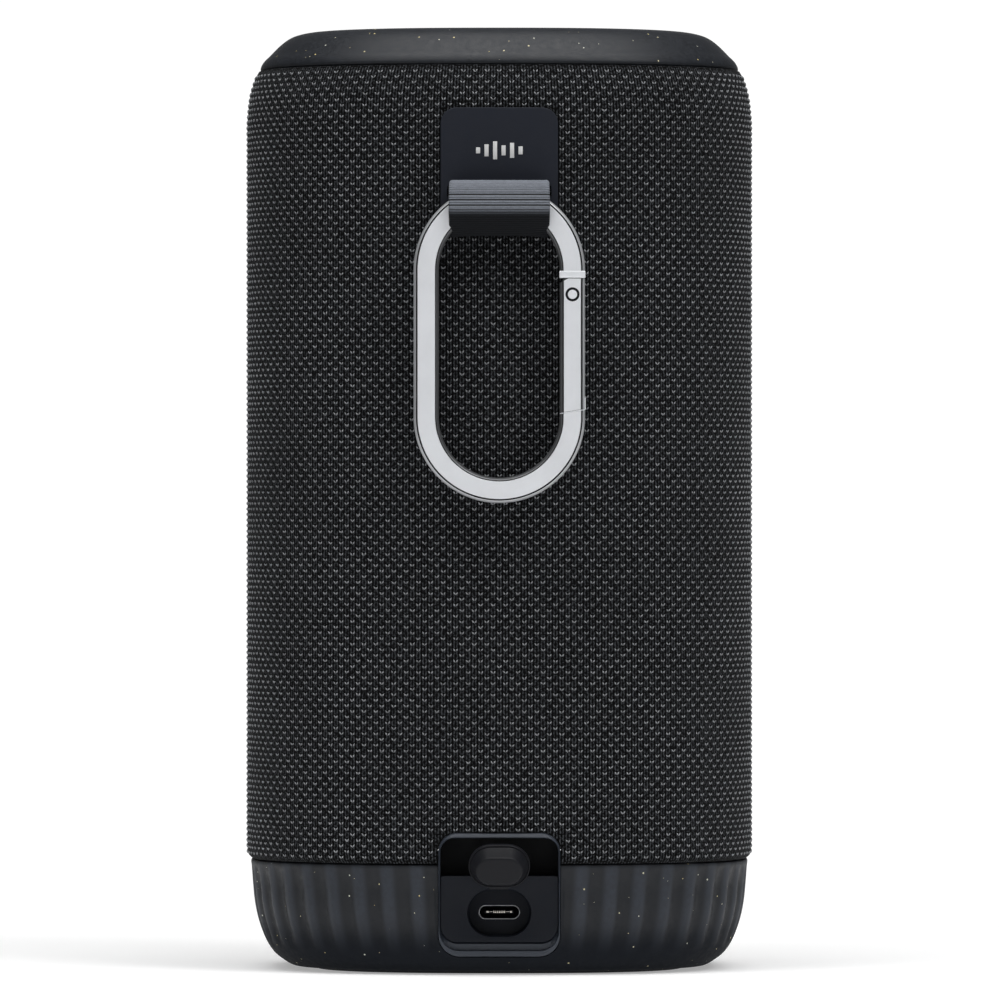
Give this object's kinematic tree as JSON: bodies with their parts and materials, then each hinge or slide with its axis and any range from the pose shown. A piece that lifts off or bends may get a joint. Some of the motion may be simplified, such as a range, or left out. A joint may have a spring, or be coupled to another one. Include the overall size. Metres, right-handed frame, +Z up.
{
  "type": "portable shower speaker",
  "caption": "Portable waterproof speaker with a knit sleeve, fluted base, snap hook on a webbing loop, plugged USB-C port, top keys and front volume keys.",
  "frame": {"origin": "centre of the foot pad's underside, where the speaker stands", "axes": "+Z up, -Y out of the back with the hook and the port, +Y out of the front with the volume keys, +X to the gate side of the hook"},
  "size_m": [0.1028, 0.1016, 0.1905],
  "materials": {
    "shell_plastic": "speckled matte moulded plastic",
    "foot_rubber": "matte",
    "speaker_knit": "open raised knit over a black ground",
    "inner_plastic": "matte",
    "steel": "plain",
    "surround_rubber": "matte",
    "cone_paper": "pressed pulp",
    "cell_wrap": "shrink wrapped",
    "circuit_board": "solder mask",
    "patch_rubber": "smooth matte",
    "webbing": "ribbed grosgrain",
    "port_plastic": "fine moulded",
    "plug_rubber": "soft satin",
    "hook_aluminium": "satin with polished faces",
    "key_rubber": "soft matte"
  },
  "bodies": {
    "housing": {"base_cup": "shell_plastic", "foot_pad": "foot_rubber", "top_cap": "shell_plastic", "fabric_sleeve": "speaker_knit", "grille_tube": "inner_plastic", "acoustic_core": "inner_plastic", "core_floor": "inner_plastic", "core_lid": "inner_plastic", "core_floor_screw_1": "steel", "core_floor_screw_2": "steel", "core_floor_screw_3": "steel", "core_floor_screw_4": "steel", "core_lid_screw_1": "steel", "core_lid_screw_2": "steel", "core_lid_screw_3": "steel", "core_lid_screw_4": "steel", "driver_front_basket": "steel", "driver_front_surround": "surround_rubber", "driver_front_magnet": "steel", "driver_rear_basket": "steel", "driver_rear_surround": "surround_rubber", "driver_rear_magnet": "steel", "radiator_left_frame": "inner_plastic", "radiator_left_surround": "surround_rubber", "radiator_right_frame": "inner_plastic", "radiator_right_surround": "surround_rubber", "battery_holder": "inner_plastic", "battery_cell_1": "cell_wrap", "battery_cell_2": "cell_wrap", "main_board": "circuit_board", "port_board": "circuit_board", "key_board": "circuit_board", "power_switch": "steel", "pairing_switch": "steel", "boost_switch": "steel", "rear_patch": "patch_rubber", "strap_anchor": "webbing", "port_bezel": "port_plastic", "usb_c_shell": "steel", "usb_c_tongue": "inner_plastic"},
    "snap_hook": {"webbing_loop": "webbing", "carabiner_frame": "hook_aluminium", "gate_pin": "steel"},
    "gate": {"carabiner_gate": "hook_aluminium", "gate_spring": "steel"},
    "plug": {"port_plug": "plug_rubber"},
    "power_key": {"power_key": "key_rubber"},
    "pairing_key": {"pairing_key": "key_rubber"},
    "boost_key": {"boost_key": "key_rubber"},
    "volume_up": {"volume_up_key": "key_rubber"},
    "volume_down": {"volume_down_key": "key_rubber"},
    "cone_front": {"driver_front_cone": "cone_paper"},
    "cone_rear": {"driver_rear_cone": "cone_paper"},
    "radiator_left": {"radiator_left_plate": "steel"},
    "radiator_right": {"radiator_right_plate": "steel"}
  },
  "joints": [
    {"name": "hook_swing", "type": "hinge", "parent": "housing", "child": "snap_hook", "pos_m": [0, -0.0504, 0.158], "axis": [-1, 0, 0], "range_deg": [0, 150]},
    {"name": "gate_hinge", "type": "hinge", "parent": "snap_hook", "child": "gate", "pos_m": [0.0146, -0.0509, 0.1363], "axis": [0, 1, 0], "range_deg": [0, 28], "stiffness_Nm_per_rad": 0.02, "springref_deg": -20.05},
    {"name": "plug_fold", "type": "hinge", "parent": "housing", "child": "plug", "pos_m": [0, -0.0455, 0.0175], "axis": [1, 0, 0], "range_deg": [0, 171]},
    {"name": "power_press", "type": "slide", "parent": "housing", "child": "power_key", "axis": [0, 0, -1], "range_m": [0, 0.0006], "stiffness_N_per_m": 600, "springref_m": -0.0006},
    {"name": "pairing_press", "type": "slide", "parent": "housing", "child": "pairing_key", "axis": [0, 0, -1], "range_m": [0, 0.0006], "stiffness_N_per_m": 600, "springref_m": -0.0006},
    {"name": "boost_press", "type": "slide", "parent": "housing", "child": "boost_key", "axis": [0, 0, -1], "range_m": [0, 0.0006], "stiffness_N_per_m": 600, "springref_m": -0.0006},
    {"name": "volume_up_press", "type": "slide", "parent": "housing", "child": "volume_up", "axis": [0, -1, 0], "range_m": [0, 0.0007], "stiffness_N_per_m": 600, "springref_m": -0.0006},
    {"name": "volume_down_press", "type": "slide", "parent": "housing", "child": "volume_down", "axis": [0, -1, 0], "range_m": [0, 0.0007], "stiffness_N_per_m": 600, "springref_m": -0.0006},
    {"name": "cone_front_stroke", "type": "slide", "parent": "housing", "child": "cone_front", "axis": [0, 1, 0], "range_m": [-0.002, 0.002], "stiffness_N_per_m": 1500},
    {"name": "cone_rear_stroke", "type": "slide", "parent": "housing", "child": "cone_rear", "axis": [0, -1, 0], "range_m": [-0.002, 0.002], "stiffness_N_per_m": 1500},
    {"name": "radiator_left_stroke", "type": "slide", "parent": "housing", "child": "radiator_left", "axis": [-1, 0, 0], "range_m": [-0.003, 0.003], "stiffness_N_per_m": 1200},
    {"name": "radiator_right_stroke", "type": "slide", "parent": "housing", "child": "radiator_right", "axis": [1, 0, 0], "range_m": [-0.003, 0.003], "stiffness_N_per_m": 1200}
  ]
}
